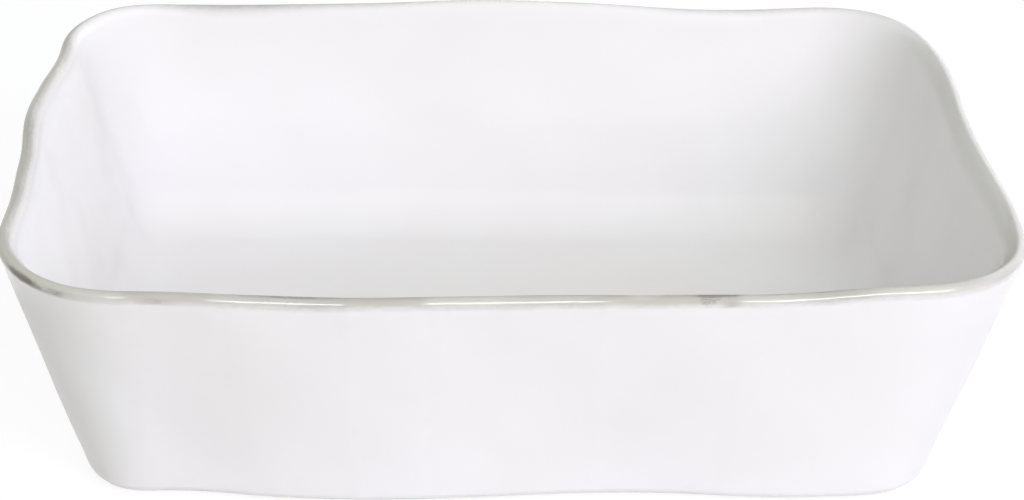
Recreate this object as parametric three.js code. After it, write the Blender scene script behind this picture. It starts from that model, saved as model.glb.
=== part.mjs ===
// A rectangular stoneware baking dish with a hand-worked, wavy rim.
// The clay body is moulded in one piece and stays bare on its foot. Four fired coats lie on it:
// white glaze inside, outside and under the floor, and a thin grey coat where the glaze breaks over the rim.
// Millimetres, +Z up, +X along the long side, front towards -Y.
// The origin is under the middle of the dish, on the surface that it stands on.
import * as THREE from "three";
import { LoftGeometry } from "three/addons/geometries/LoftGeometry.js";
import { mergeGeometries, mergeVertices } from "three/addons/utils/BufferGeometryUtils.js";

// Outside of the glazed dish: the walls lean out from the base to the rim
const RIM_LENGTH = 350;
const RIM_WIDTH = 252;
const RIM_HEIGHT = 95;
const RIM_CORNER_RADIUS = 48;
const BASE_LENGTH = 297;
const BASE_WIDTH = 198;
const BASE_CORNER_RADIUS = 27;
const BASE_EDGE_RADIUS = 4.5;

// Thicknesses, with the glaze included
const RIM_THICKNESS = 6.4;
const WALL_THICKNESS = 8;
const FLOOR_THICKNESS = 8;
const FLOOR_FILLET_RADIUS = 15;
const FLOOR_CORNER_RADIUS = 12;
const GLAZE_THICKNESS = 0.6;

// The bare foot ring, and the panel inside it that is raised clear of the table
const FOOT_WIDTH = 10;
const FOOT_HEIGHT = 1.2;
const PANEL_CLEARANCE = 2;

// Facets: rings round the dish and rows along its section
const LONG_SIDE_STEPS = 18;
const SHORT_SIDE_STEPS = 12;
const CORNER_STEPS = 6;
const WALL_STEPS = 3;
const LIP_STEPS = 6;
const FILLET_STEPS = 4;
const EDGE_STEPS = 3;

// Where the maker's hands pushed the wall. x and y are the place on the rim, in shares of half its length and
// half its width. reach is how far a push spreads, rim and base are how far it moves the rim and the base
// outwards, and lift is how far it raises the rim, in shares of the three sizes here.
const PUSH_REACH = 40;
const PUSH_DEPTH = 3;
const PUSH_LIFT = 2;
const PUSHES = [
  { x: -0.7, y: -1, reach: 1, rim: 0, base: -1, lift: 0.45 },
  { x: -0.28, y: -1, reach: 1.7, rim: 0.4, base: 1.05, lift: -0.35 },
  { x: 0.23, y: -1, reach: 1.1, rim: 0, base: -0.5, lift: 0 },
  { x: 0.57, y: -1, reach: 1, rim: 0, base: 0.55, lift: 0.25 },
  { x: 0.7, y: -1, reach: 1.1, rim: 0, base: 0, lift: 1 },
  { x: 0.85, y: -0.93, reach: 1.3, rim: -0.25, base: 0.2, lift: 1 },
  { x: 1, y: -0.46, reach: 0.95, rim: 0.45, base: 0, lift: 0 },
  { x: 1, y: 0.04, reach: 0.9, rim: -0.45, base: 0, lift: 0 },
  { x: 1, y: 0.42, reach: 0.75, rim: 0.25, base: 0, lift: 0 },
  { x: 0.98, y: 0.7, reach: 0.65, rim: -0.35, base: 0, lift: 0 },
  { x: 0.89, y: 0.92, reach: 0.95, rim: 0.1, base: 0, lift: 0.65 },
  { x: 0.51, y: 1, reach: 1.2, rim: 0, base: 0, lift: -0.6 },
  { x: 0, y: 1, reach: 1.95, rim: 0.15, base: 0, lift: 1.05 },
  { x: -0.64, y: 1, reach: 1.25, rim: 0, base: 0, lift: -0.3 },
  { x: -0.89, y: 0.92, reach: 0.8, rim: 0, base: 0, lift: 0.65 },
  { x: -0.99, y: 0.58, reach: 0.75, rim: -0.95, base: 0, lift: 0 },
  { x: -1, y: 0.14, reach: 1.05, rim: 1, base: 0, lift: 0.2 },
  { x: -1, y: -0.42, reach: 0.9, rim: -0.25, base: 0, lift: 0 },
];

const HALF_TURN = Math.PI;
const QUARTER_TURN = Math.PI / 2;

// The four sides going round anticlockwise from above, with the way that each faces
const SIDES = [
  { facing: -QUARTER_TURN, steps: LONG_SIDE_STEPS },
  { facing: 0, steps: SHORT_SIDE_STEPS },
  { facing: QUARTER_TURN, steps: LONG_SIDE_STEPS },
  { facing: HALF_TURN, steps: SHORT_SIDE_STEPS },
];

// A rounded rectangle set in from the outside of the dish by inset, at a share of the way up the wall
function outlineAt(inset, share) {
  const halfLength = THREE.MathUtils.lerp(BASE_LENGTH, RIM_LENGTH, share) / 2 - inset;
  const halfWidth = THREE.MathUtils.lerp(BASE_WIDTH, RIM_WIDTH, share) / 2 - inset;
  const fullRadius = THREE.MathUtils.lerp(BASE_CORNER_RADIUS, RIM_CORNER_RADIUS, share);
  const radius = Math.max(fullRadius - inset, FLOOR_CORNER_RADIUS);
  return { halfLength, halfWidth, radius };
}

// The point of an outline where a corner's arc faces the given way
function cornerPoint(outline, corner, facing) {
  const x = corner.x * (outline.halfLength - outline.radius) + outline.radius * Math.cos(facing);
  const y = corner.y * (outline.halfWidth - outline.radius) + outline.radius * Math.sin(facing);
  return new THREE.Vector2(x, y);
}

// The corner that the side facing this way ends in, as signs of x and y
function cornerAfter(facing) {
  const middle = facing + QUARTER_TURN / 2;
  return new THREE.Vector2(Math.sign(Math.cos(middle)), Math.sign(Math.sin(middle)));
}

// A station is a place round the dish: it gives its point on any outline
function sideStation(facing, share) {
  const before = cornerAfter(facing - QUARTER_TURN);
  const after = cornerAfter(facing);
  const pointOn = (outline) =>
    cornerPoint(outline, before, facing).lerp(cornerPoint(outline, after, facing), share);
  return { facing, pointOn };
}

function cornerStation(sideFacing, share) {
  const corner = cornerAfter(sideFacing);
  const facing = sideFacing + share * QUARTER_TURN;
  return { facing, pointOn: (outline) => cornerPoint(outline, corner, facing) };
}

// Every station in order: along each side, then round the corner after it
function stationsRoundDish() {
  const stations = [];
  for (const { facing, steps } of SIDES) {
    for (let i = 0; i < steps; i++) stations.push(sideStation(facing, i / steps));
    for (let i = 0; i < CORNER_STEPS; i++) stations.push(cornerStation(facing, i / CORNER_STEPS));
  }
  return stations;
}

// A raised-cosine swelling: 1 at its middle, falling to 0 at its reach, which is distance 1
function swelling(distance) {
  return (1 + Math.cos(HALF_TURN * Math.min(distance, 1))) / 2;
}

// What all the pushes together do at each station, by its distance from them at the rim
function addPushes(stations) {
  const rim = outlineAt(0, 1);
  for (const station of stations) {
    const place = station.pointOn(rim);
    station.rimOut = 0;
    station.baseOut = 0;
    station.lift = 0;
    for (const push of PUSHES) {
      const centre = new THREE.Vector2(push.x * rim.halfLength, push.y * rim.halfWidth);
      const share = swelling(place.distanceTo(centre) / (push.reach * PUSH_REACH));
      station.rimOut += share * push.rim * PUSH_DEPTH;
      station.baseOut += share * push.base * PUSH_DEPTH;
      station.lift += share * push.lift * PUSH_LIFT;
    }
  }
  return stations;
}

const STATIONS = addPushes(stationsRoundDish());

// The ring of points at a place on the section: inset from the outside, and height above the table.
// The rim's lift fades out towards the base, so that the foot and the floor stay flat.
function ring({ x: inset, y: height }) {
  const share = THREE.MathUtils.clamp(height / RIM_HEIGHT, 0, 1);
  const outline = outlineAt(inset, share);
  return STATIONS.map((station) => {
    const out = THREE.MathUtils.lerp(station.baseOut, station.rimOut, share);
    const place = station.pointOn(outline);
    return new THREE.Vector3(
      place.x + out * Math.cos(station.facing),
      place.y + out * Math.sin(station.facing),
      height + station.lift * THREE.MathUtils.smoothstep(share, 0, 1),
    );
  });
}

// A ring drawn together to one point, in the middle of the floor
function pole(height) {
  return STATIONS.map(() => new THREE.Vector3(0, 0, height));
}

// Rows of the section along an arc, where x is the inset and y the height
function arcRows(centre, radius, from, to, steps) {
  const arc = new THREE.Path().absarc(centre.x, centre.y, radius, from, to, to < from);
  return Array.from({ length: steps + 1 }, (_, i) => arc.getPoint(i / steps));
}

// Rows between two rows, without the ends
function straightRows(from, to, steps) {
  return Array.from({ length: steps - 1 }, (_, i) => from.clone().lerp(to, (i + 1) / steps));
}

const FLOOR_HEIGHT = PANEL_CLEARANCE + FLOOR_THICKNESS;
const LIP_RADIUS = RIM_THICKNESS / 2;

// Stretches of the section at a depth under the glazed face: the face is 0, and the clay GLAZE_THICKNESS
function lipRows(depth) {
  const centre = new THREE.Vector2(LIP_RADIUS, RIM_HEIGHT - LIP_RADIUS);
  return arcRows(centre, LIP_RADIUS - depth, HALF_TURN, 0, LIP_STEPS);
}

function outsideRows(depth) {
  const centre = new THREE.Vector2(BASE_EDGE_RADIUS, FOOT_HEIGHT + BASE_EDGE_RADIUS);
  const edge = arcRows(centre, BASE_EDGE_RADIUS - depth, 3 * QUARTER_TURN, HALF_TURN, EDGE_STEPS);
  const shoulder = lipRows(depth)[0];
  return [...edge, ...straightRows(edge.at(-1), shoulder, WALL_STEPS), shoulder];
}

function insideRows(depth) {
  const centre = new THREE.Vector2(
    WALL_THICKNESS + FLOOR_FILLET_RADIUS,
    FLOOR_HEIGHT + FLOOR_FILLET_RADIUS,
  );
  const fillet = arcRows(centre, FLOOR_FILLET_RADIUS + depth, HALF_TURN, 3 * QUARTER_TURN, FILLET_STEPS);
  const shoulder = lipRows(depth).at(-1);
  return [shoulder, ...straightRows(shoulder, fillet[0], WALL_STEPS), ...fillet];
}

// The bare foot, from the panel's edge down to the table, across, and up to where the outside glaze starts
function footRows() {
  const outer = BASE_EDGE_RADIUS;
  const inner = BASE_EDGE_RADIUS + FOOT_WIDTH;
  return [
    new THREE.Vector2(inner, PANEL_CLEARANCE),
    new THREE.Vector2(inner, 0),
    new THREE.Vector2(outer, 0),
    new THREE.Vector2(outer, FOOT_HEIGHT),
  ];
}

// The panel under the floor, as one row at its edge
function panelRow(depth) {
  return new THREE.Vector2(BASE_EDGE_RADIUS + FOOT_WIDTH, PANEL_CLEARANCE + depth);
}

// A surface through rings, turned to face the other way if asked
function surface(rings, turned = false) {
  const geometry = new LoftGeometry(rings);
  geometry.deleteAttribute("normal");
  geometry.deleteAttribute("uv");
  if (turned) {
    const corners = geometry.index.array;
    for (let i = 0; i < corners.length; i += 3) {
      [corners[i], corners[i + 1]] = [corners[i + 1], corners[i]];
    }
  }
  return geometry;
}

function closedSolid(surfaces) {
  const geometry = mergeVertices(mergeGeometries(surfaces));
  geometry.computeVertexNormals();
  return geometry;
}

// A coat between its own face and the clay, joined along its edges. A coat that has a pole has one edge only.
// Both sides of a seam have the same facets, so the rim's edges are lofted the other way from the others'.
function coat(faceRings, clayRings, edgesTurned = true) {
  const edge = (rings) => surface(edgesTurned ? rings.reverse() : rings, edgesTurned);
  return closedSolid([
    surface(faceRings),
    surface(clayRings, true),
    edge([clayRings[0], faceRings[0]]),
    edge([faceRings.at(-1), clayRings.at(-1)]),
  ]);
}

function clayBody() {
  const clay = GLAZE_THICKNESS;
  const rows = [
    panelRow(clay),
    ...footRows(),
    ...outsideRows(clay),
    ...lipRows(clay).slice(1, -1),
    ...insideRows(clay),
  ];
  const rings = rows.map(ring);
  return closedSolid([surface([pole(panelRow(clay).y), ...rings, pole(FLOOR_HEIGHT - clay)])]);
}

function outsideGlaze() {
  return coat(outsideRows(0).map(ring), outsideRows(GLAZE_THICKNESS).map(ring));
}

function rimGlaze() {
  return coat(lipRows(0).map(ring), lipRows(GLAZE_THICKNESS).map(ring), false);
}

function insideGlaze() {
  const face = [...insideRows(0).map(ring), pole(FLOOR_HEIGHT)];
  const clay = [...insideRows(GLAZE_THICKNESS).map(ring), pole(FLOOR_HEIGHT - GLAZE_THICKNESS)];
  return coat(face, clay);
}

function undersideGlaze() {
  const layer = (depth) => [pole(panelRow(depth).y), ring(panelRow(depth))];
  return coat(layer(0), layer(GLAZE_THICKNESS));
}

const bareClay = new THREE.MeshStandardMaterial({ color: 0xb9a992, roughness: 0.85, metalness: 0 });
const whiteGlaze = new THREE.MeshStandardMaterial({ color: 0xf3f2f3, roughness: 0.12, metalness: 0 });
const greyGlaze = new THREE.MeshStandardMaterial({ color: 0xc4c1bb, roughness: 0.18, metalness: 0 });

const dish = new THREE.Group();
function addPiece(name, geometry, material) {
  const mesh = new THREE.Mesh(geometry, material);
  mesh.name = name;
  dish.add(mesh);
}

addPiece("stoneware_body", clayBody(), bareClay);
addPiece("outside_glaze", outsideGlaze(), whiteGlaze);
addPiece("rim_glaze", rimGlaze(), greyGlaze);
addPiece("inside_glaze", insideGlaze(), whiteGlaze);
addPiece("underside_glaze", undersideGlaze(), whiteGlaze);

export default dish;
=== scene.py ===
"""A rectangular stoneware baking dish, glazed white, with a wavy rim where the glaze breaks to grey.
Metres, +Z up, +X along the long side, front towards -Y, standing on z = 0."""
import math

import bpy
import numpy as np
from mathutils import Matrix, Vector


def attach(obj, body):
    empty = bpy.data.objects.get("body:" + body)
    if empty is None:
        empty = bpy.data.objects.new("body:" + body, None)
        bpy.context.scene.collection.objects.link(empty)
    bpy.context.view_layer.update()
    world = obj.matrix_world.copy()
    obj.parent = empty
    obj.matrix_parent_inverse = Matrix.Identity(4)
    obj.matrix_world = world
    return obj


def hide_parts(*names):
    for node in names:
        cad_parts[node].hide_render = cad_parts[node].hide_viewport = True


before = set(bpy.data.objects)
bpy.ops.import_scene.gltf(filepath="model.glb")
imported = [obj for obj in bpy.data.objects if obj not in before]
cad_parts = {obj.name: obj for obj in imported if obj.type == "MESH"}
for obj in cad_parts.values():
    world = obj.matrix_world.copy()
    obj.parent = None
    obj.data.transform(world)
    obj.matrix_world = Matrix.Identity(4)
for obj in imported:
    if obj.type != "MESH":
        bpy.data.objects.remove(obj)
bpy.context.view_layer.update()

# Stoneware body
# One moulded piece of buff clay: a floor, four leaning walls, a lip that is rounded outside and eases into
# the wall inside, and a foot ring to stand on. The maker's hands pushed the soft walls about before firing.
# Glaze hides all of it but the foot ring.
RIM_LENGTH = 0.350
RIM_WIDTH = 0.252
RIM_HEIGHT = 0.095
RIM_CORNER_RADIUS = 0.048
BASE_LENGTH = 0.297
BASE_WIDTH = 0.198
BASE_CORNER_RADIUS = 0.027
BASE_EDGE_RADIUS = 0.0045
LIP_RADIUS = 0.0032
LIP_FALL = 0.011
WALL_THICKNESS = 0.008
FLOOR_HEIGHT = 0.010
FLOOR_FILLET_RADIUS = 0.015
FLOOR_CORNER_RADIUS = 0.012
FLOOR_CORNER_EASE = 0.003
FLOOR_SAG = 0.0004
GLAZE_THICKNESS = 0.0006
FOOT_WIDTH = 0.010
FOOT_HEIGHT = 0.0012
FOOT_EDGE_RADIUS = 0.0008
PANEL_HEIGHT = 0.002

# The pushes: place on the rim in shares of half its length and half its width, how far a push spreads, how
# far it moves the rim and the base outwards, and how far it lifts the rim, in shares of the sizes here
PUSH_REACH = 0.040
PUSH_DEPTH = 0.003
PUSH_LIFT = 0.002
PUSHES = np.array([
    (-0.70, -1.00, 1.00, 0.00, -1.00, 0.45),
    (-0.28, -1.00, 1.70, 0.40, 1.05, -0.35),
    (0.23, -1.00, 1.10, 0.00, -0.50, 0.00),
    (0.57, -1.00, 1.00, 0.00, 0.55, 0.25),
    (0.70, -1.00, 1.10, 0.00, 0.00, 1.00),
    (0.85, -0.93, 1.30, -0.25, 0.20, 1.00),
    (1.00, -0.46, 0.95, 0.45, 0.00, 0.00),
    (1.00, 0.04, 0.90, -0.45, 0.00, 0.00),
    (1.00, 0.42, 0.75, 0.25, 0.00, 0.00),
    (0.98, 0.70, 0.65, -0.35, 0.00, 0.00),
    (0.89, 0.92, 0.95, 0.10, 0.00, 0.65),
    (0.51, 1.00, 1.20, 0.00, 0.00, -0.60),
    (0.00, 1.00, 1.95, 0.15, 0.00, 1.05),
    (-0.64, 1.00, 1.25, 0.00, 0.00, -0.30),
    (-0.89, 0.92, 0.80, 0.00, 0.00, 0.65),
    (-0.99, 0.58, 0.75, -0.95, 0.00, 0.00),
    (-1.00, 0.14, 1.05, 1.00, 0.00, 0.20),
    (-1.00, -0.42, 0.90, -0.25, 0.00, 0.00),
])

LONG_SIDE_STATIONS = 160
SHORT_SIDE_STATIONS = 100
CORNER_STATIONS = 46
CORNER_EASE = 4.0


def side_and_corner(facing, count):
    """Stations along one side and round the corner after it. The first two numbers of a station are its
    place in shares of the straight sides: facing + along * share, share from -1 to 1. The last two are the
    way it faces."""
    facing = np.array(facing, float)
    along = np.array((-facing[1], facing[0]))
    share = np.linspace(-1, 1, count, endpoint=False)[:, None]
    turn = np.linspace(0, math.pi / 2, CORNER_STATIONS, endpoint=False)[:, None]
    side = np.hstack((facing + along * share, np.tile(facing, (count, 1))))
    corner = np.hstack((np.tile(facing + along, (CORNER_STATIONS, 1)),
                        facing * np.cos(turn) + along * np.sin(turn)))
    return np.vstack((side, corner))


def eased(values):
    """Values round the dish, each averaged with its neighbours by a bell curve, so that the sides ease into
    the corners."""
    count = len(values)
    away = np.minimum(np.arange(count), count - np.arange(count))
    bell = np.exp(-0.5 * (away / CORNER_EASE) ** 2)
    spectrum = np.fft.fft(values, axis=0) * np.fft.fft(bell / bell.sum())[:, None]
    return np.fft.ifft(spectrum, axis=0).real


side_x, side_y, facing_x, facing_y = eased(np.vstack((
    side_and_corner((0, -1), LONG_SIDE_STATIONS),
    side_and_corner((1, 0), SHORT_SIDE_STATIONS),
    side_and_corner((0, 1), LONG_SIDE_STATIONS),
    side_and_corner((-1, 0), SHORT_SIDE_STATIONS),
))).T
rim_x = side_x * (RIM_LENGTH / 2 - RIM_CORNER_RADIUS) + facing_x * RIM_CORNER_RADIUS
rim_y = side_y * (RIM_WIDTH / 2 - RIM_CORNER_RADIUS) + facing_y * RIM_CORNER_RADIUS
turn_round = np.linspace(0, 2 * math.pi, len(rim_x), endpoint=False)


def swellings(places, reach):
    """For each place on the rim, a raised cosine round the dish: 1 at the place, and 0 from its reach on."""
    away_x = rim_x - places[:, :1] * RIM_LENGTH / 2
    away_y = rim_y - places[:, 1:2] * RIM_WIDTH / 2
    share = np.hypot(away_x, away_y) / (places[:, 2:3] * reach)
    return (1 + np.cos(math.pi * np.minimum(share, 1))) / 2


push_shares = swellings(PUSHES, PUSH_REACH)
rim_push = PUSHES[:, 3] @ push_shares * PUSH_DEPTH
base_push = PUSHES[:, 4] @ push_shares * PUSH_DEPTH
rim_lift = PUSHES[:, 5] @ push_shares * PUSH_LIFT

# The slight unevenness of walls finished by hand. Each wave has how many times it runs round the dish, how
# many times it leans round as it climbs, where it starts, and its size.
WAVER_DEPTH = 0.00016
WAVER_FULL_AT = 0.125
WAVERS = ((9, 0.8, 0.4, 1.0), (16, -1.3, 1.9, 0.7), (23, 1.9, 4.1, 0.5))


def waver(share):
    """The sum of the waves at a share of the way up the wall. It fades out at the foot, which stands flat."""
    waves = sum(size * np.cos(times * turn_round + 2 * math.pi * lean * share + start)
                for times, lean, start, size in WAVERS)
    return WAVER_DEPTH * waves * np.minimum(1, share / WAVER_FULL_AT)


def smooth(share):
    """An S curve from 0 to 1 that starts and ends level."""
    return share * share * (3 - 2 * share)


def dish_rings(section):
    """Rings round the dish, one for each row of a section. A row is an inset from the outside and a height.
    The outline at a height is a rounded rectangle between the base's and the rim's, moved outwards by the
    pushes and the waver, and lifted at the rim. The inset outline's corner radius never falls below the
    floor's."""
    inset, height = section.T[:, :, None]
    share = np.clip(height / RIM_HEIGHT, 0, 1)
    half_length = (BASE_LENGTH + (RIM_LENGTH - BASE_LENGTH) * share) / 2 - inset
    half_width = (BASE_WIDTH + (RIM_WIDTH - BASE_WIDTH) * share) / 2 - inset
    corner = BASE_CORNER_RADIUS + (RIM_CORNER_RADIUS - BASE_CORNER_RADIUS) * share
    spare = corner - inset - FLOOR_CORNER_RADIUS
    radius = FLOOR_CORNER_RADIUS + (spare + np.hypot(spare, FLOOR_CORNER_EASE)) / 2
    out = base_push + (rim_push - base_push) * share + waver(share)
    x = side_x * (half_length - radius) + facing_x * (radius + out)
    y = side_y * (half_width - radius) + facing_y * (radius + out)
    z = height + rim_lift * smooth(share)
    return np.stack((x, y, z), axis=2)


def disc_rings(edge, sag, steps):
    """Rings from a flat edge towards the middle, each a smaller copy of the edge, sagging by an S curve."""
    share = np.linspace(1, 0, steps + 1)[1:-1, None, None]
    middle = edge.mean(axis=0)
    return middle + (edge - middle) * share - np.array((0, 0, sag)) * smooth(1 - share)


def disc_middle(edge, sag):
    """The middle point of the same disc."""
    return edge.mean(axis=0) - np.array((0, 0, sag))


def arc(centre, radius, start, end, steps):
    """Rows of a section along an arc with both its ends. The angle is in degrees, from inwards towards up."""
    angle = np.radians(np.linspace(start, end, steps + 1))
    return np.stack((centre[0] + radius * np.cos(angle), centre[1] + radius * np.sin(angle)), axis=1)


def wall(start, end, steps):
    """Rows of a section between two rows, without them. The height changes evenly, and the inset by an S
    curve."""
    share = np.linspace(0, 1, steps + 1)[1:-1]
    inset = start[0] + (end[0] - start[0]) * smooth(share)
    height = start[1] + (end[1] - start[1]) * share
    return np.stack((inset, height), axis=1)


def lip_curve(depth, start, end, steps):
    """Rows along the lip at a depth under the glazed face. Outside it is a quarter of a circle, from 180
    degrees to 90, and inside a quarter of an ellipse, from 90 to 0, that runs further down and eases into
    the wall."""
    angle = np.radians(np.linspace(start, end, steps + 1))
    fall = np.where(angle > math.pi / 2, LIP_RADIUS, LIP_FALL)
    inset = LIP_RADIUS + (LIP_RADIUS - depth) * np.cos(angle)
    return np.stack((inset, RIM_HEIGHT - fall + (fall - depth) * np.sin(angle)), axis=1)


# The angle at which the rim's coat ends inside: as far below the crest as its outer shoulder
LIP_INNER_EDGE = math.degrees(math.asin(1 - LIP_RADIUS / LIP_FALL))

# How many steps each curve has, on a face that is seen and on one that lies hidden between clay and glaze
SEEN_STEPS = {"edge": 14, "outer wall": 48, "lip": 44, "ease": 16, "inner wall": 38, "hollow": 20, "disc": 26}
HIDDEN_STEPS = {"edge": 5, "outer wall": 12, "lip": 12, "ease": 4, "inner wall": 12, "hollow": 6, "disc": 6}
FOOT_EDGE_STEPS = 5


def lip_section(depth, steps):
    """The lip from its outer shoulder over the crest to its inner edge."""
    return lip_curve(depth, 180, LIP_INNER_EDGE, steps["lip"])


def outside_section(depth, steps):
    """The rounded bottom edge and the outer wall, up to the lip's outer shoulder."""
    centre = (BASE_EDGE_RADIUS, FOOT_HEIGHT + BASE_EDGE_RADIUS)
    edge = arc(centre, BASE_EDGE_RADIUS - depth, 270, 180, steps["edge"])
    shoulder = lip_section(depth, steps)[0]
    return np.vstack((edge, wall(edge[-1], shoulder, steps["outer wall"]), shoulder))


def inside_section(depth, steps):
    """The rest of the lip's ease, the inner wall, and the hollow curve that leads into the floor."""
    centre = (WALL_THICKNESS + FLOOR_FILLET_RADIUS, FLOOR_HEIGHT + FLOOR_FILLET_RADIUS)
    hollow = arc(centre, FLOOR_FILLET_RADIUS + depth, 180, 270, steps["hollow"])
    ease = lip_curve(depth, LIP_INNER_EDGE, 0, steps["ease"])
    return np.vstack((ease, wall(ease[-1], hollow[0], steps["inner wall"]), hollow))


def foot_section():
    """The bare foot ring: down its inner side, across the flat that stands on the table, and up its outer
    side."""
    inner = BASE_EDGE_RADIUS + FOOT_WIDTH
    outer = BASE_EDGE_RADIUS
    inner_centre = (inner - FOOT_EDGE_RADIUS, FOOT_EDGE_RADIUS)
    outer_centre = (outer + FOOT_EDGE_RADIUS, FOOT_EDGE_RADIUS)
    return np.vstack((
        (inner, PANEL_HEIGHT + GLAZE_THICKNESS),
        (inner, PANEL_HEIGHT),
        arc(inner_centre, FOOT_EDGE_RADIUS, 360, 270, FOOT_EDGE_STEPS),
        arc(outer_centre, FOOT_EDGE_RADIUS, 270, 180, FOOT_EDGE_STEPS),
        (outer, FOOT_HEIGHT),
    ))


SHARP_ANGLE = math.radians(40)


def dish_piece(name, node, material, rings, poles=()):
    """A closed piece through rings round the dish, in the place of a node. Two poles close the first and the
    last ring with fans of triangles. With no poles, the last ring joins the first."""
    rows, count = rings.shape[:2]
    here = np.arange(count)
    beside = np.roll(here, -1)
    row = np.arange(rows - 1 if poles else rows)[:, None]
    low = row * count
    high = (row + 1) % rows * count
    faces = np.stack((low + here, low + beside, high + beside, high + here), axis=2).reshape(-1, 4).tolist()
    points = rings.reshape(-1, 3).tolist()
    if poles:
        last = (rows - 1) * count
        first_pole = np.full(count, rows * count)
        faces += np.stack((first_pole, beside, here), axis=1).tolist()
        faces += np.stack((last + here, last + beside, first_pole + 1), axis=1).tolist()
        points += [pole.tolist() for pole in poles]
    mesh = bpy.data.meshes.new(name)
    mesh.from_pydata(points, [], faces)
    mesh.shade_smooth()
    mesh.set_sharp_from_angle(angle=SHARP_ANGLE)
    mesh.materials.append(material)
    piece = bpy.data.objects.new(name, mesh)
    bpy.context.scene.collection.objects.link(piece)
    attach(piece, "root")
    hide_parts(node)
    return piece


class Field:
    """A socket in a node tree, for what changes over a surface. Arithmetic on fields adds Math nodes."""

    def __init__(self, tree, socket=None):
        self.tree = tree
        self.socket = socket

    def node(self, kind, settings, inputs, output=0):
        """Adds a node. Its settings are set first, then its inputs, and the field is one of its outputs."""
        node = self.tree.nodes.new(kind)
        for name, value in settings.items():
            setattr(node, name, value)
        for name, value in inputs.items():
            if isinstance(value, Field):
                self.tree.links.new(value.socket, node.inputs[name])
            else:
                node.inputs[name].default_value = value
        return Field(self.tree, node.outputs[output] if node.outputs else None)

    def math(self, operation, first, second):
        """A Math node on two fields, or on a field and a number."""
        return self.node("ShaderNodeMath", {"operation": operation}, {0: first, 1: second})

    def __add__(self, other):
        return self.math("ADD", self, other)

    def __radd__(self, other):
        return self.math("ADD", other, self)

    def __sub__(self, other):
        return self.math("SUBTRACT", self, other)

    def __rsub__(self, other):
        return self.math("SUBTRACT", other, self)

    def __mul__(self, other):
        return self.math("MULTIPLY", self, other)

    def __rmul__(self, other):
        return self.math("MULTIPLY", other, self)

    def rise(self, low, high):
        """0 at low and 1 at high, by an S curve. Low may lie above high."""
        span = {"Value": self, "From Min": low, "From Max": high}
        return self.node("ShaderNodeMapRange", {"interpolation_type": "SMOOTHSTEP"}, span)

    def tint(self, none, full):
        """The first colour where this is 0, and the second where it is 1."""
        return self.node("ShaderNodeMix", {"data_type": "RGBA"}, {0: self, 6: none, 7: full}, 2)

    def noise(self, scale, detail):
        """Cloudy noise from 0 to 1 at this place, with so many clouds to a metre."""
        return self.node("ShaderNodeTexNoise", {}, {"Vector": self, "Scale": scale, "Detail": detail})


def srgb(red, green, blue):
    """A colour as it shows on a screen, from 0 to 255, as the linear colour that a shader takes."""
    share = np.array((red, green, blue)) / 255
    linear = np.where(share <= 0.04045, share / 12.92, ((share + 0.055) / 1.055) ** 2.4)
    return (*linear.tolist(), 1.0)


def new_material(name):
    """An empty material, and a field to start its nodes from."""
    material = bpy.data.materials.new(name)
    material.use_nodes = True
    material.node_tree.nodes.clear()
    return material, Field(material.node_tree)


CERAMIC_IOR = 1.5


def finish_material(start, inputs, height, distance):
    """Closes a material: a surface with these inputs and with the height as its bump."""
    normal = start.node("ShaderNodeBump", {}, {"Height": height, "Distance": distance})
    surface = start.node("ShaderNodeBsdfPrincipled", {}, {**inputs, "IOR": CERAMIC_IOR, "Normal": normal})
    start.node("ShaderNodeOutputMaterial", {}, {"Surface": surface})


# The clay's colours, then its noises as clouds to a metre and detail, and how much of each shows
CLAY_BUFF = srgb(203, 188, 164)
CLAY_SHADE = srgb(178, 160, 134)
CLAY_SPECK = srgb(112, 90, 70)
CLAY_CLOUDS = (90, 4)
CLAY_CLOUD_BAND = (0.3, 0.7)
CLAY_GRAIN = (1400, 3)
CLAY_SAND = (700, 1)
CLAY_SAND_BAND = (0.66, 0.74)
CLAY_ROUGHNESS = 0.8
GRAIN_ROUGHNESS = 0.15
SAND_HEIGHT = 0.5
CLAY_RELIEF = 0.00015


def bare_clay():
    """Fired clay: buff, clouded, and gritty with dark specks of sand."""
    material, start = new_material("bare_clay")
    place = start.node("ShaderNodeTexCoord", {}, {}, "Object")
    grain = place.noise(*CLAY_GRAIN)
    specks = place.noise(*CLAY_SAND).rise(*CLAY_SAND_BAND)
    buff = place.noise(*CLAY_CLOUDS).rise(*CLAY_CLOUD_BAND).tint(CLAY_BUFF, CLAY_SHADE)
    colour = specks.tint(buff, CLAY_SPECK)
    inputs = {"Base Color": colour, "Roughness": CLAY_ROUGHNESS + GRAIN_ROUGHNESS * grain}
    finish_material(start, inputs, grain + SAND_HEIGHT * specks, CLAY_RELIEF)
    return material


clay_rings = dish_rings(np.vstack((
    foot_section(),
    outside_section(GLAZE_THICKNESS, HIDDEN_STEPS),
    lip_section(GLAZE_THICKNESS, HIDDEN_STEPS)[1:-1],
    inside_section(GLAZE_THICKNESS, HIDDEN_STEPS),
)))
clay_panel = disc_rings(clay_rings[0], 0, HIDDEN_STEPS["disc"])[::-1]
clay_floor = disc_rings(clay_rings[-1], FLOOR_SAG, HIDDEN_STEPS["disc"])
dish_piece(
    "clay_dish", "stoneware_body", bare_clay(),
    np.concatenate((clay_panel, clay_rings, clay_floor)),
    (disc_middle(clay_rings[0], 0), disc_middle(clay_rings[-1], FLOOR_SAG)),
)

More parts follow.
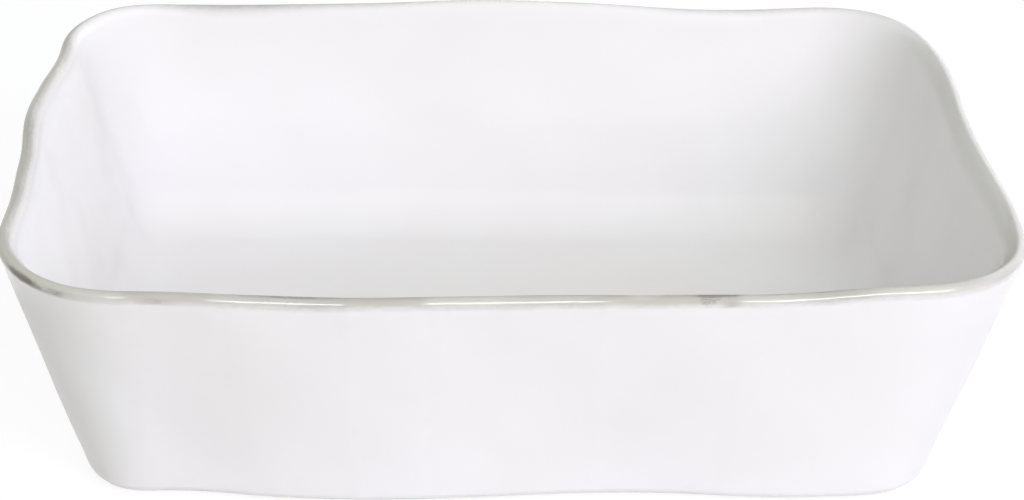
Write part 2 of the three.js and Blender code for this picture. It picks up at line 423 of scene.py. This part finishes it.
# Underside glaze
# The white coat on the panel inside the foot ring, which stands clear of the table and of the kiln shelf.
# It is dipped with the rest of the dish, and wiped away from the foot before firing.
PANEL_STEPS = 12
GLAZE_WHITE = srgb(243, 242, 246)
GLAZE_CREAM = srgb(242, 240, 243)
GLAZE_CLOUDS = (16, 2)
GLAZE_CLOUD_BAND = (0.35, 0.7)
GLAZE_RIPPLE = (38, 1)
GLAZE_PEEL = (260, 1)
PINHOLE_CELLS = 80
PINHOLE_BAND = (0.045, 0.02)
GLAZE_ROUGHNESS = 0.07
CLOUD_ROUGHNESS = 0.05
PEEL_HEIGHT = 0.06
PINHOLE_DEPTH = 0.25
GLAZE_RELIEF = 0.0003


def white_glaze(start):
    """The colour, roughness and height of the white glaze: slow clouds from cool white to a warmer white
    where it lies thinner, a soft ripple from the melt, and a few pinholes."""
    place = start.node("ShaderNodeTexCoord", {}, {}, "Object")
    clouds = place.noise(*GLAZE_CLOUDS).rise(*GLAZE_CLOUD_BAND)
    ripple = place.noise(*GLAZE_RIPPLE)
    peel = place.noise(*GLAZE_PEEL)
    cells = start.node("ShaderNodeTexVoronoi", {}, {"Vector": place, "Scale": PINHOLE_CELLS}, "Distance")
    pinholes = cells.rise(*PINHOLE_BAND)
    colour = clouds.tint(GLAZE_WHITE, GLAZE_CREAM)
    roughness = GLAZE_ROUGHNESS + CLOUD_ROUGHNESS * clouds
    height = ripple + PEEL_HEIGHT * peel - PINHOLE_DEPTH * pinholes
    return colour, roughness, height


def plain_white_glaze(name):
    """The white glaze where nothing breaks it."""
    material, start = new_material(name)
    colour, roughness, height = white_glaze(start)
    finish_material(start, {"Base Color": colour, "Roughness": roughness}, height, GLAZE_RELIEF)
    return material


panel_inset = BASE_EDGE_RADIUS + FOOT_WIDTH
panel_face, panel_clay = dish_rings(np.array((
    (panel_inset, PANEL_HEIGHT),
    (panel_inset, PANEL_HEIGHT + GLAZE_THICKNESS),
)))
dish_piece(
    "underside_white_coat", "underside_glaze",
    plain_white_glaze("underside_white_glaze"),
    np.concatenate((disc_rings(panel_face, 0, PANEL_STEPS)[::-1], panel_face[None],
                    panel_clay[None], disc_rings(panel_clay, 0, HIDDEN_STEPS["disc"]))),
    (disc_middle(panel_face, 0), disc_middle(panel_clay, 0)),
)

# Outside glaze
# The white coat on the outer walls, from just above the foot to the lip's outer shoulder. It is poured thick
# and runs down evenly, with less gloss than inside. Near the lip it thins and breaks: the clay's iron shows
# through as grey, and brown at the shoulder.
BREAK_GREY = srgb(186, 184, 181)
BREAK_PALE = srgb(207, 205, 201)
# The dark and the brown also serve as painted shade, where the marks darken the left side and the front left
# corner.
BREAK_AND_SHADE_DARK = srgb(152, 150, 146)
BREAK_AND_SHADE_BROWN = srgb(122, 111, 104)
WORN_GREY = srgb(193, 190, 185)

# The bands across the lip: where each starts and where it is full, by the distance from the crest in
# millimetres, positive outside
GREY_INSIDE = (-6.8, 0.2)
GREY_OUTSIDE = (5.7, 2.9)
CREST_INSIDE = (-2.2, -1.2)
CREST_OUTSIDE = (1.1, 0.1)
SHOULDER_INSIDE = (1.9, 4.2)
SHOULDER_OUTSIDE = (5.6, 4.0)
SMUDGE_INSIDE = (-2.2, -1.2)
SMUDGE_OUTSIDE = (4.4, 3.0)
SHINE_OUTSIDE = (-0.6, 0.6)
SHINE_INSIDE = (-3.0, -9.0)
SHINE_BELOW = (18.0, 6.0)

# How far the noise, the wear and the marks move the edges of these bands, in millimetres
FRAY = 1.6
FINE_FRAY = 0.9
WORN_EDGE = 0.3
CREST_SPREAD = 0.5
SHOULDER_SPREAD = 0.8
PALE_SHIFT = 6.0

# The noises along the rim, as for the clay. All of them swing about the same middle.
RIM_SHADES = (40, 2)
RIM_SHADE_BAND = (0.35, 0.65)
RIM_WANDER = (60, 2)
RIM_BLOTCHES = (110, 2)
RIM_FLECKS = (900, 2)
RIM_GRIT = (2400, 1)
NOISE_MIDDLE = 0.5

# What the dark line, the smudges, the brown line and the wear are made up of
LINE_BAND = (0.0, 1.2)
CREST_PLAIN = 0.3
CREST_MARKED = 0.7
CREST_BLOTCHES = 0.6
CREST_FLECKS = 0.4
CREST_GAPS = (0.25, 0.55)
CREST_ROUGHNESS = 0.1
SMUDGE_GRIT = 3.0
SMUDGE_BAND = (0.9, 1.9)
SMUDGE_STRENGTH = 0.7
SHOULDER_PLAIN = 0.1
SHOULDER_BLOTCHES = 0.7
SHOULDER_FLECKS = 0.3
SHOULDER_FILL = 0.15
SHOULDER_GAPS = (0.3, 0.6)
WEAR_BASE = 0.5
WEAR_BAND = (0.35, 0.6)
WORN_ROUGHNESS = 0.45
WORN_HEIGHT = 0.1

# The clear gloss over the glaze
GLOSS_ROUGHNESS = 0.06
WALL_SHINE = 0.3
PALE_DULLS = 0.5

# The marks: place on the rim as for the pushes, how far a mark spreads, and how much it adds to the dark
# crest, the brown shoulder, the matt wear and the pale inner half
MARK_REACH = 0.040
MARKS = np.array([
    # The first two marks paint shade as well as brown: they widen and darken the shoulder line round the
    # front left corner, where the lip turns away from the light.
    (-0.943, -0.850, 0.40, 0.00, 0.80, 0.00, 0.00),
    (-0.875, -0.938, 0.50, 0.00, 0.62, 0.00, 0.00),
    (-0.68, -1.00, 0.85, 0.00, 0.16, 0.00, 0.00),
    (-0.674, -1.00, 0.24, 0.00, 0.22, 0.00, 0.00),
    (-0.646, -1.00, 0.80, 0.10, 0.00, 0.90, 0.25),
    (-0.575, -1.00, 0.26, 0.00, 0.24, 0.00, 0.00),
    (-0.43, -1.00, 0.80, 0.85, 0.00, 0.00, 0.00),
    (-0.246, -1.00, 0.68, 0.15, 0.00, 0.90, 0.10),
    (-0.18, -1.00, 0.60, 0.25, 0.00, 0.00, 0.00),
    (0.225, -1.00, 0.30, 0.00, 0.00, 0.00, 0.45),
    (0.285, -1.00, 1.05, 0.30, 0.00, 1.00, 0.00),
    (0.352, -1.00, 0.16, 1.45, 0.00, 0.00, 0.00),
    (0.392, -1.00, 0.14, 0.70, 0.30, 0.00, 0.00),
    (0.475, -1.00, 0.22, 0.35, 0.00, 0.00, 0.00),
    (0.56, -1.00, 0.11, 0.45, 0.00, 0.00, 0.00),
    (0.61, -1.00, 0.14, 0.40, 0.00, 0.00, 0.00),
    (1.00, -0.30, 2.40, 0.00, 0.00, 0.00, 0.72),
    (1.00, 0.22, 0.42, 0.25, 0.00, 0.00, 0.00),
    (1.00, 0.25, 1.60, 0.00, 0.00, 0.00, 0.56),
    (0.93, -0.88, 1.20, 0.00, 0.00, 0.00, 0.50),
    (0.97, 0.80, 2.20, 0.00, 0.00, 0.00, 0.80),
    (0.10, 1.00, 4.40, 0.00, 0.00, 0.00, 0.90),
    (-0.90, 0.93, 1.60, 0.00, 0.00, 0.00, 0.70),
    # The last mark paints shade as well as a darker crest: it darkens the crest along the whole left side,
    # which faces away from the light.
    (-1.00, -0.10, 3.00, 0.24, 0.00, 0.00, 0.00),
])
mark_strengths = (MARKS[:, 3:].T @ swellings(MARKS, MARK_REACH)).T

# A circle that stands for the rim, so much shorter that noise on it is drawn out along the rim
ALONG_STRETCH = 2.5
rim_length = np.hypot(np.diff(rim_x, append=rim_x[0]), np.diff(rim_y, append=rim_y[0])).sum()
coil_radius = rim_length / (2 * math.pi) / ALONG_STRETCH
coil = coil_radius * np.stack((np.cos(turn_round), np.sin(turn_round)), axis=1)


def breaking_glaze(name):
    """The white glaze, breaking at the lip: grey over the lip's outer half that fades into the white on both
    sides, a dark line on the crest and a brown one at the shoulder. Noise drawn out along the rim frays these
    bands. The marks strengthen the lines, smudge the lip, wear the gloss away, or keep the grey off the lip's
    inner half. Round the front left corner and along the left side, the stronger brown and dark lines are
    partly painted shade. The gloss is a clear coat. It is rubbed off the lip's inner half, comes back down
    the inner wall, and is weaker down the outer wall."""
    material, start = new_material(name)
    white, roughness, height = white_glaze(start)
    lip = start.node("ShaderNodeAttribute", {"attribute_name": "from_crest"}, {}, "Fac")
    along = start.node("ShaderNodeAttribute", {"attribute_name": "along_rim"}, {}, "Vector")
    marks = start.node("ShaderNodeAttribute", {"attribute_name": "marks"}, {}, "Vector")
    pale = start.node("ShaderNodeAttribute", {"attribute_name": "marks"}, {}, "Alpha")
    dark, brown, matt = (start.node("ShaderNodeSeparateXYZ", {}, {0: marks}, axis) for axis in "XYZ")
    blotch = along.noise(*RIM_BLOTCHES)
    fleck = along.noise(*RIM_FLECKS)
    wander = along.noise(*RIM_WANDER) - NOISE_MIDDLE
    grit = along.noise(*RIM_GRIT) - NOISE_MIDDLE
    edge = lip + FRAY * wander + FINE_FRAY * (fleck - NOISE_MIDDLE)

    wear = (matt * (WEAR_BASE + blotch)).rise(*WEAR_BAND)
    broken = (edge - PALE_SHIFT * pale).rise(*GREY_INSIDE) * (edge + WORN_EDGE * wear).rise(*GREY_OUTSIDE)

    line = dark.rise(*LINE_BAND)
    crest = (edge - CREST_SPREAD * line).rise(*CREST_OUTSIDE) * edge.rise(*CREST_INSIDE)
    crest = crest * (CREST_PLAIN - CREST_PLAIN * pale + CREST_MARKED * line)
    crest = crest * (CREST_BLOTCHES * blotch + CREST_FLECKS * fleck).rise(*CREST_GAPS)

    smudge = edge.rise(*SMUDGE_OUTSIDE) * edge.rise(*SMUDGE_INSIDE)
    smudge = smudge * (dark + SMUDGE_GRIT * grit).rise(*SMUDGE_BAND)

    shoulder = (edge + SHOULDER_SPREAD * brown).rise(*SHOULDER_INSIDE) * edge.rise(*SHOULDER_OUTSIDE)
    cover = SHOULDER_BLOTCHES * blotch + SHOULDER_FLECKS * fleck + SHOULDER_FILL * brown
    shoulder = shoulder * (SHOULDER_PLAIN + brown) * cover.rise(*SHOULDER_GAPS)

    grey = along.noise(*RIM_SHADES).rise(*RIM_SHADE_BAND).tint(BREAK_GREY, BREAK_PALE)
    colour = broken.tint(white, wear.tint(grey, WORN_GREY))
    colour = (crest + SMUDGE_STRENGTH * smudge).rise(0, 1).tint(colour, BREAK_AND_SHADE_DARK)
    colour = shoulder.rise(0, 1).tint(colour, BREAK_AND_SHADE_BROWN)

    shine = lip.rise(*SHINE_OUTSIDE) * (1 - wear) * (1 - PALE_DULLS * pale) + lip.rise(*SHINE_INSIDE)
    shine = shine * (WALL_SHINE + (1 - WALL_SHINE) * lip.rise(*SHINE_BELOW))
    inputs = {
        "Base Color": colour,
        "Roughness": roughness + WORN_ROUGHNESS * wear * broken + CREST_ROUGHNESS * crest,
        "Specular IOR Level": 0.0,
        "Coat Weight": shine,
        "Coat Roughness": GLOSS_ROUGHNESS,
    }
    finish_material(start, inputs, height + WORN_HEIGHT * wear * broken * blotch, GLAZE_RELIEF)
    return material


MILLIMETRES = 1000


def crest_distance(section):
    """How far each row of a section lies from the lip's crest: its straight distance in millimetres, positive
    outside the crest and negative inside."""
    inset, height = section.T
    outwards = LIP_RADIUS - inset
    return MILLIMETRES * np.copysign(np.hypot(outwards, RIM_HEIGHT - height), outwards)


def mark_coat(piece, distance):
    """Gives a coat what its glaze reads at each point: the distance of its ring from the crest, a place drawn
    out along the rim, and the strengths of the marks. Poles lie as far from the crest as the last ring."""
    mesh = piece.data
    rings = len(distance)
    poles = len(mesh.vertices) - rings * len(turn_round)
    from_crest = np.append(np.repeat(distance, len(turn_round)), np.full(poles, distance[-1]))
    round_rim = np.vstack((np.tile(coil, (rings, 1)), np.zeros((poles, coil.shape[1]))))
    along_rim = np.column_stack((round_rim, from_crest / MILLIMETRES))
    marks = np.vstack((np.tile(mark_strengths, (rings, 1)), np.zeros((poles, mark_strengths.shape[1]))))
    mesh.attributes.new("from_crest", "FLOAT", "POINT").data.foreach_set("value", from_crest)
    mesh.attributes.new("along_rim", "FLOAT_VECTOR", "POINT").data.foreach_set("vector", along_rim.ravel())
    mesh.attributes.new("marks", "FLOAT_COLOR", "POINT").data.foreach_set("color", marks.ravel())


outside_coat = np.vstack((
    outside_section(0, SEEN_STEPS),
    outside_section(GLAZE_THICKNESS, HIDDEN_STEPS)[::-1],
))
outside = dish_piece(
    "outside_white_coat", "outside_glaze", breaking_glaze("outside_white_glaze"),
    dish_rings(outside_coat),
)
mark_coat(outside, crest_distance(outside_coat))

# Inside glaze
# The white coat on the floor and the inner walls, up to where the lip has eased half way into the wall.
# It pools smooth in the hollow curve between the walls and the floor.
inside_face = inside_section(0, SEEN_STEPS)
inside_clay = inside_section(GLAZE_THICKNESS, HIDDEN_STEPS)
face_rings = dish_rings(inside_face)
clay_side_rings = dish_rings(inside_clay)
face_floor = disc_rings(face_rings[-1], FLOOR_SAG, SEEN_STEPS["disc"])
clay_side_floor = disc_rings(clay_side_rings[-1], FLOOR_SAG, HIDDEN_STEPS["disc"])
inside = dish_piece(
    "inside_white_coat", "inside_glaze", breaking_glaze("inside_white_glaze"),
    np.concatenate((clay_side_floor[::-1], clay_side_rings[::-1], face_rings, face_floor)),
    (disc_middle(clay_side_rings[-1], FLOOR_SAG), disc_middle(face_rings[-1], FLOOR_SAG)),
)
floor_distance = crest_distance(inside_face)[-1]
mark_coat(inside, np.concatenate((
    np.full(len(clay_side_floor), floor_distance),
    crest_distance(inside_clay)[::-1],
    crest_distance(inside_face),
    np.full(len(face_floor), floor_distance),
)))

# Rim glaze
# The thin coat over the lip, from its outer shoulder over the crest to where it eases into the inner wall.
# The melted glaze runs off the lip while it is fired, so this is where it breaks most, and where use has
# worn a few matt patches.
rim_coat = np.vstack((
    lip_section(0, SEEN_STEPS),
    lip_section(GLAZE_THICKNESS, HIDDEN_STEPS)[::-1],
))
rim = dish_piece(
    "rim_grey_coat", "rim_glaze", breaking_glaze("rim_grey_glaze"),
    dish_rings(rim_coat),
)
mark_coat(rim, crest_distance(rim_coat))

# Floor, light and camera
# A plain white floor in an even white room. Softboxes stand to the right of the camera, over it, weakly to
# its left, and low behind the dish on the right. One far behind lights the outer walls that face away from
# the camera, and a strip near the camera draws the bright line along the rim.
FLOOR_SIZE = 8.0
FLOOR_BOUNCE = (0.82, 0.82, 0.82, 1.0)
FLOOR_SHADOW = (0.20, 0.20, 0.22, 1.0)
FLOOR_GLOW = 0.86
ROOM_FILL = (0.965, 1.0, 0.78, 1.0)
ROOM_STRENGTH = 0.30
PAPER_WHITE = (1.0, 1.0, 1.0, 1.0)


def seen_ray(start):
    """1 for a ray from the camera, and for its mirror images and views through glass, and 0 for light."""
    rays = [start.node("ShaderNodeLightPath", {}, {}, kind)
            for kind in ("Is Camera Ray", "Is Glossy Ray", "Is Transmission Ray")]
    return start.math("MAXIMUM", start.math("MAXIMUM", rays[0], rays[1]), rays[2])


def white_floor():
    """A floor that shows as white paper with a light shadow, and gives light back like white card."""
    material, start = new_material("white_floor")
    bounce = start.node("ShaderNodeBsdfDiffuse", {}, {"Color": FLOOR_BOUNCE})
    shadow = start.node("ShaderNodeBsdfDiffuse", {}, {"Color": FLOOR_SHADOW})
    glow = start.node("ShaderNodeEmission", {}, {"Color": PAPER_WHITE, "Strength": FLOOR_GLOW})
    paper = start.node("ShaderNodeAddShader", {}, {0: shadow, 1: glow})
    surface = start.node("ShaderNodeMixShader", {}, {0: seen_ray(start), 1: bounce, 2: paper})
    start.node("ShaderNodeOutputMaterial", {}, {"Surface": surface})
    return material


floor_corners = np.array(((-1, -1, 0), (1, -1, 0), (1, 1, 0), (-1, 1, 0))) * FLOOR_SIZE / 2
floor_mesh = bpy.data.meshes.new("floor")
floor_mesh.from_pydata(floor_corners.tolist(), [], [(0, 1, 2, 3)])
floor_mesh.materials.append(white_floor())
floor = bpy.data.objects.new("floor", floor_mesh)
bpy.context.scene.collection.objects.link(floor)

world = bpy.data.worlds.new("white_room")
world.use_nodes = True
world.node_tree.nodes.clear()
room = Field(world.node_tree)
fill = room.node("ShaderNodeBackground", {}, {"Color": ROOM_FILL, "Strength": ROOM_STRENGTH})
paper_wall = room.node("ShaderNodeBackground", {}, {"Color": PAPER_WHITE, "Strength": 1.0})
room_light = room.node("ShaderNodeMixShader", {}, {0: seen_ray(room), 1: fill, 2: paper_wall})
room.node("ShaderNodeOutputWorld", {}, {"Surface": room_light})
bpy.context.scene.world = world

CAMERA_TARGET = Vector((0.00278, 0, 0.04712))
LAMP_DISTANCE = 2.0


def direction(azimuth, elevation):
    """The way from the dish towards a place in the room, in degrees: azimuth 0 is the front, 90 the right."""
    a = math.radians(azimuth)
    e = math.radians(elevation)
    return Vector((math.sin(a) * math.cos(e), -math.cos(a) * math.cos(e), math.sin(e)))


def softbox(name, azimuth, elevation, width, height, power, colour):
    """A flat lamp that faces the dish."""
    lamp = bpy.data.lights.new(name, "AREA")
    lamp.shape = "RECTANGLE"
    lamp.size = width
    lamp.size_y = height
    lamp.energy = power
    lamp.color = colour
    box = bpy.data.objects.new(name, lamp)
    away = direction(azimuth, elevation)
    box.location = CAMERA_TARGET + away * LAMP_DISTANCE
    box.rotation_mode = "QUATERNION"
    box.rotation_quaternion = away.to_track_quat("Z", "Y")
    bpy.context.scene.collection.objects.link(box)
    return box


# The softboxes give soft light and aren't mirrored in the gloss. The strip is only mirrored.
key = softbox("key_softbox", 42, 25, 1.2, 1.0, 15.6, (0.925, 0.87, 1.0))
overhead = softbox("overhead_softbox", 20, 48, 1.6, 1.0, 15.9, (0.97, 1.0, 0.99))
left = softbox("left_softbox", -30, 30, 1.6, 1.2, 5.2, (1.0, 0.95, 1.0))
back = softbox("back_softbox", 130, 12, 1.2, 0.6, 10.8, (0.88, 0.91, 1.0))
far = softbox("far_softbox", 214, 14, 1.8, 1.0, 21, (1.0, 0.95, 1.0))
for lamp in (key, overhead, left, back, far):
    lamp.visible_glossy = False
strip = softbox("rim_strip", 12, 24, 3.0, 0.6, 70, (1.0, 1.0, 1.0))
strip.visible_diffuse = False

# The far softbox lights the outside coat alone, and the strip the rim coat alone
for lamp, lit_piece in ((far, outside), (strip, rim)):
    lit_pieces = bpy.data.collections.new(lamp.name + "_lights")
    lit_pieces.objects.link(lit_piece)
    lamp.light_linking.receiver_collection = lit_pieces

CAMERA_AZIMUTH = -2.69
CAMERA_ELEVATION = 27.61
CAMERA_ROLL = 1.44
CAMERA_DISTANCE = 0.96706
CAMERA_LENS = 90.94
CAMERA_SENSOR = 36
camera_data = bpy.data.cameras.new("camera")
camera_data.lens = CAMERA_LENS
camera_data.sensor_width = CAMERA_SENSOR
camera_data.sensor_fit = "HORIZONTAL"
camera = bpy.data.objects.new("camera", camera_data)
camera_away = direction(CAMERA_AZIMUTH, CAMERA_ELEVATION)
camera_roll = Matrix.Rotation(math.radians(CAMERA_ROLL), 3, "Z")
camera_turn = camera_away.to_track_quat("Z", "Y").to_matrix() @ camera_roll
camera_place = Matrix.Translation(CAMERA_TARGET + camera_away * CAMERA_DISTANCE)
camera.matrix_world = camera_place @ camera_turn.to_4x4()
bpy.context.scene.collection.objects.link(camera)
bpy.context.scene.camera = camera
bpy.context.scene.view_settings.view_transform = "Standard"
